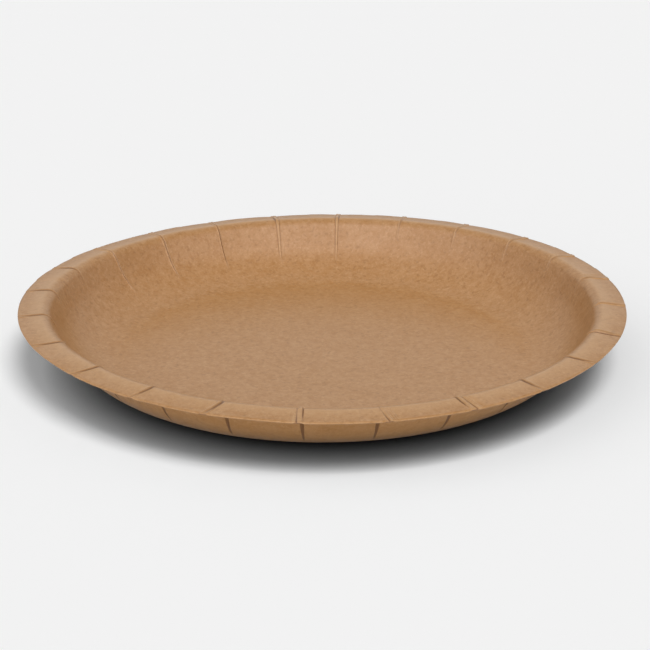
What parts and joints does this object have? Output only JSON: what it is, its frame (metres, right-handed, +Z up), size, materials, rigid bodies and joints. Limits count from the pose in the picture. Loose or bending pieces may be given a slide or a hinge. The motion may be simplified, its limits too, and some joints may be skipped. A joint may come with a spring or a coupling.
{
  "type": "kraft paper plate",
  "caption": "Round pressed kraft paper plate with a flat base, a steep curved wall, and a narrow rim with radial pleats.",
  "frame": {"origin": "centre of the underside of the base, where the plate's axis meets the table", "axes": "+Z up along the plate's axis, out of the open side; X and Y lie in the plane of the table, with the viewer of the picture on the -Y side"},
  "size_m": [0.23, 0.23, 0.0233],
  "materials": {
    "kraft_board": "matt uncoated kraft board"
  },
  "bodies": {
    "root": {"plate": "kraft_board"}
  },
  "joints": []
}
